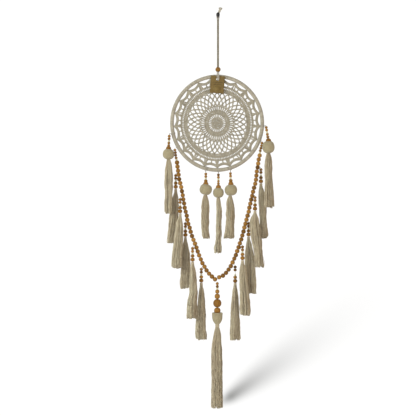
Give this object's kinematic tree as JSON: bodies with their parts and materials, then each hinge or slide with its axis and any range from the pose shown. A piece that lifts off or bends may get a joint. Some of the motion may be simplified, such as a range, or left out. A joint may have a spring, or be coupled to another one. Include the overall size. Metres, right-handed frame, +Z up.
{
  "type": "dream catcher",
  "caption": "Yarn-wrapped hoop with a crocheted web, hung from a cord loop, with a beaded garland, yarn pom-poms and long tassels below.",
  "frame": {"origin": "centre of the nail that the hanging loop goes over", "axes": "+Z up, +X to the right of a person looking at it, -Y towards that person; the web lies in the XZ plane"},
  "size_m": [0.2559, 0.0344, 0.9239],
  "materials": {
    "cord_yarn": "twisted cotton cord, matte greige",
    "wrap_yarn": "cotton yarn wound round the hoop, matte greige",
    "web_yarn": "crocheted cotton yarn, matte greige",
    "tassel_yarn": "soft spun yarn, matte beige",
    "pompom_yarn": "trimmed yarn pile, matte cream",
    "bead_wood": "lacquered turned wood, golden brown, satin",
    "tag_card": "kraft card, matte brown",
    "ring_steel": "plain steel wire ring"
  },
  "bodies": {
    "nail_knot": {"loop_knot": "cord_yarn"},
    "loop": {"hanging_loop": "cord_yarn"},
    "hanger_bead": {"hanger_bead": "bead_wood"},
    "hitch": {"cord_hitch_left": "cord_yarn", "cord_hitch_right": "cord_yarn"},
    "hoop": {"hoop_ring": "ring_steel", "hoop_wrap": "wrap_yarn", "web": "web_yarn", "tie_bottom_left": "cord_yarn", "tie_bottom_middle": "cord_yarn", "tie_bottom_right": "cord_yarn", "tie_garland_left": "cord_yarn", "tie_garland_right": "cord_yarn", "tie_side_left": "cord_yarn", "tie_side_right": "cord_yarn"},
    "tag": {"hang_tag": "tag_card"},
    "garland": {"garland_left": "bead_wood", "garland_right": "bead_wood"},
    "pendant": {"pendant_stem": "bead_wood", "pendant_big_bead": "bead_wood", "pendant_cup_bead": "bead_wood"},
    "pendant_tassel": {"pendant_pompom": "pompom_yarn", "pendant_tassel": "tassel_yarn"},
    "drop_bottom_left": {"drop_bottom_left_stem": "bead_wood"},
    "drop_bottom_left_tassel": {"drop_bottom_left_pompom": "pompom_yarn", "drop_bottom_left_tassel": "tassel_yarn"},
    "drop_bottom_middle": {"drop_bottom_middle_stem": "bead_wood"},
    "drop_bottom_middle_tassel": {"drop_bottom_middle_pompom": "pompom_yarn", "drop_bottom_middle_tassel": "tassel_yarn"},
    "drop_bottom_right": {"drop_bottom_right_stem": "bead_wood"},
    "drop_bottom_right_tassel": {"drop_bottom_right_pompom": "pompom_yarn", "drop_bottom_right_tassel": "tassel_yarn"},
    "drop_side_left": {"drop_side_left_stem": "bead_wood"},
    "drop_side_left_tassel": {"drop_side_left_pompom": "pompom_yarn", "drop_side_left_tassel": "tassel_yarn"},
    "drop_side_right": {"drop_side_right_stem": "bead_wood"},
    "drop_side_right_tassel": {"drop_side_right_pompom": "pompom_yarn", "drop_side_right_tassel": "tassel_yarn"},
    "fringe_left_1": {"fringe_left_1_stem": "bead_wood", "fringe_left_1_tassel": "tassel_yarn"},
    "fringe_left_2": {"fringe_left_2_stem": "bead_wood", "fringe_left_2_tassel": "tassel_yarn"},
    "fringe_left_3": {"fringe_left_3_stem": "bead_wood", "fringe_left_3_tassel": "tassel_yarn"},
    "fringe_left_4": {"fringe_left_4_stem": "bead_wood", "fringe_left_4_tassel": "tassel_yarn"},
    "fringe_left_5": {"fringe_left_5_stem": "bead_wood", "fringe_left_5_tassel": "tassel_yarn"},
    "fringe_right_1": {"fringe_right_1_stem": "bead_wood", "fringe_right_1_tassel": "tassel_yarn"},
    "fringe_right_2": {"fringe_right_2_stem": "bead_wood", "fringe_right_2_tassel": "tassel_yarn"},
    "fringe_right_3": {"fringe_right_3_stem": "bead_wood", "fringe_right_3_tassel": "tassel_yarn"},
    "fringe_right_4": {"fringe_right_4_stem": "bead_wood", "fringe_right_4_tassel": "tassel_yarn"},
    "fringe_right_5": {"fringe_right_5_stem": "bead_wood", "fringe_right_5_tassel": "tassel_yarn"}
  },
  "joints": [
    {"name": "loop_swing", "type": "hinge", "parent": "nail_knot", "child": "loop", "pos_m": [0, 0, 0], "axis": [0, 1, 0], "range_deg": [-25, 25]},
    {"name": "hanger_bead_slide", "type": "slide", "parent": "loop", "child": "hanger_bead", "axis": [0, 0, 1], "range_m": [0, 0.09]},
    {"name": "hoop_spin", "type": "hinge", "parent": "loop", "child": "hitch", "pos_m": [0, 0, -0.1318], "axis": [0, 0, 1], "range_deg": [-180, 180]},
    {"name": "hoop_tilt", "type": "hinge", "parent": "hitch", "child": "hoop", "pos_m": [0, 0, -0.1418], "axis": [1, 0, 0], "range_deg": [-20, 20]},
    {"name": "tag_lift", "type": "hinge", "parent": "hoop", "child": "tag", "pos_m": [0, 0, -0.1418], "axis": [-1, 0, 0], "range_deg": [0, 60]},
    {"name": "drop_bottom_left_swing", "type": "hinge", "parent": "hoop", "child": "drop_bottom_left", "pos_m": [-0.0281, 0, -0.35335], "axis": [1, 0, 0], "range_deg": [-35, 35]},
    {"name": "drop_bottom_left_spin", "type": "hinge", "parent": "drop_bottom_left", "child": "drop_bottom_left_tassel", "pos_m": [-0.0281, 0, -0.40144], "axis": [0, 0, 1], "continuous": true},
    {"name": "drop_bottom_middle_swing", "type": "hinge", "parent": "hoop", "child": "drop_bottom_middle", "pos_m": [0.0009, 0, -0.35676], "axis": [1, 0, 0], "range_deg": [-35, 35]},
    {"name": "drop_bottom_middle_spin", "type": "hinge", "parent": "drop_bottom_middle", "child": "drop_bottom_middle_tassel", "pos_m": [0.0009, 0, -0.4092], "axis": [0, 0, 1], "continuous": true},
    {"name": "drop_bottom_right_swing", "type": "hinge", "parent": "hoop", "child": "drop_bottom_right", "pos_m": [0.0286, 0, -0.35202], "axis": [1, 0, 0], "range_deg": [-35, 35]},
    {"name": "drop_bottom_right_spin", "type": "hinge", "parent": "drop_bottom_right", "child": "drop_bottom_right_tassel", "pos_m": [0.0296, 0, -0.40288], "axis": [0, 0, 1], "continuous": true},
    {"name": "drop_side_left_swing", "type": "hinge", "parent": "hoop", "child": "drop_side_left", "pos_m": [-0.11126, -0.006, -0.27293], "axis": [-1, 0, 0], "range_deg": [0, 35]},
    {"name": "drop_side_left_spin", "type": "hinge", "parent": "drop_side_left", "child": "drop_side_left_tassel", "pos_m": [-0.1136, -0.006, -0.32063], "axis": [0, 0, 1], "range_deg": [-15, 15]},
    {"name": "drop_side_right_swing", "type": "hinge", "parent": "hoop", "child": "drop_side_right", "pos_m": [0.10965, -0.006, -0.25511], "axis": [-1, 0, 0], "range_deg": [0, 35]},
    {"name": "drop_side_right_spin", "type": "hinge", "parent": "drop_side_right", "child": "drop_side_right_tassel", "pos_m": [0.1158, -0.006, -0.30441], "axis": [0, 0, 1], "range_deg": [-15, 15]},
    {"name": "garland_swing", "type": "hinge", "parent": "hoop", "child": "garland", "pos_m": [0.00166, 0, -0.29914], "axis": [0.9969, 0, 0.0782], "range_deg": [0, 30]},
    {"name": "fringe_left_1_swing", "type": "hinge", "parent": "garland", "child": "fringe_left_1", "pos_m": [-0.09748, 0.0086, -0.36544], "axis": [1, 0, 0], "range_deg": [0, 35]},
    {"name": "fringe_left_2_swing", "type": "hinge", "parent": "garland", "child": "fringe_left_2", "pos_m": [-0.08695, -0.0086, -0.4208], "axis": [-1, 0, 0], "range_deg": [0, 35]},
    {"name": "fringe_left_3_swing", "type": "hinge", "parent": "garland", "child": "fringe_left_3", "pos_m": [-0.07508, 0.0086, -0.47646], "axis": [1, 0, 0], "range_deg": [0, 35]},
    {"name": "fringe_left_4_swing", "type": "hinge", "parent": "garland", "child": "fringe_left_4", "pos_m": [-0.05835, -0.0086, -0.53303], "axis": [-1, 0, 0], "range_deg": [0, 35]},
    {"name": "fringe_left_5_swing", "type": "hinge", "parent": "garland", "child": "fringe_left_5", "pos_m": [-0.03846, 0.0086, -0.5817], "axis": [1, 0, 0], "range_deg": [0, 35]},
    {"name": "fringe_right_1_swing", "type": "hinge", "parent": "garland", "child": "fringe_right_1", "pos_m": [0.09908, 0.0086, -0.35174], "axis": [1, 0, 0], "range_deg": [0, 35]},
    {"name": "fringe_right_2_swing", "type": "hinge", "parent": "garland", "child": "fringe_right_2", "pos_m": [0.08483, -0.0086, -0.41631], "axis": [-1, 0, 0], "range_deg": [0, 35]},
    {"name": "fringe_right_3_swing", "type": "hinge", "parent": "garland", "child": "fringe_right_3", "pos_m": [0.0705, 0.0086, -0.47587], "axis": [1, 0, 0], "range_deg": [0, 35]},
    {"name": "fringe_right_4_swing", "type": "hinge", "parent": "garland", "child": "fringe_right_4", "pos_m": [0.05609, -0.0086, -0.52947], "axis": [-1, 0, 0], "range_deg": [0, 35]},
    {"name": "fringe_right_5_swing", "type": "hinge", "parent": "garland", "child": "fringe_right_5", "pos_m": [0.03966, 0.0086, -0.57649], "axis": [1, 0, 0], "range_deg": [0, 35]},
    {"name": "pendant_swing", "type": "hinge", "parent": "garland", "child": "pendant", "pos_m": [-0.0016, 0, -0.6135], "axis": [1, 0, 0], "range_deg": [-35, 35]},
    {"name": "pendant_spin", "type": "hinge", "parent": "pendant", "child": "pendant_tassel", "pos_m": [-0.0016, 0, -0.695], "axis": [0, 0, 1], "continuous": true}
  ]
}
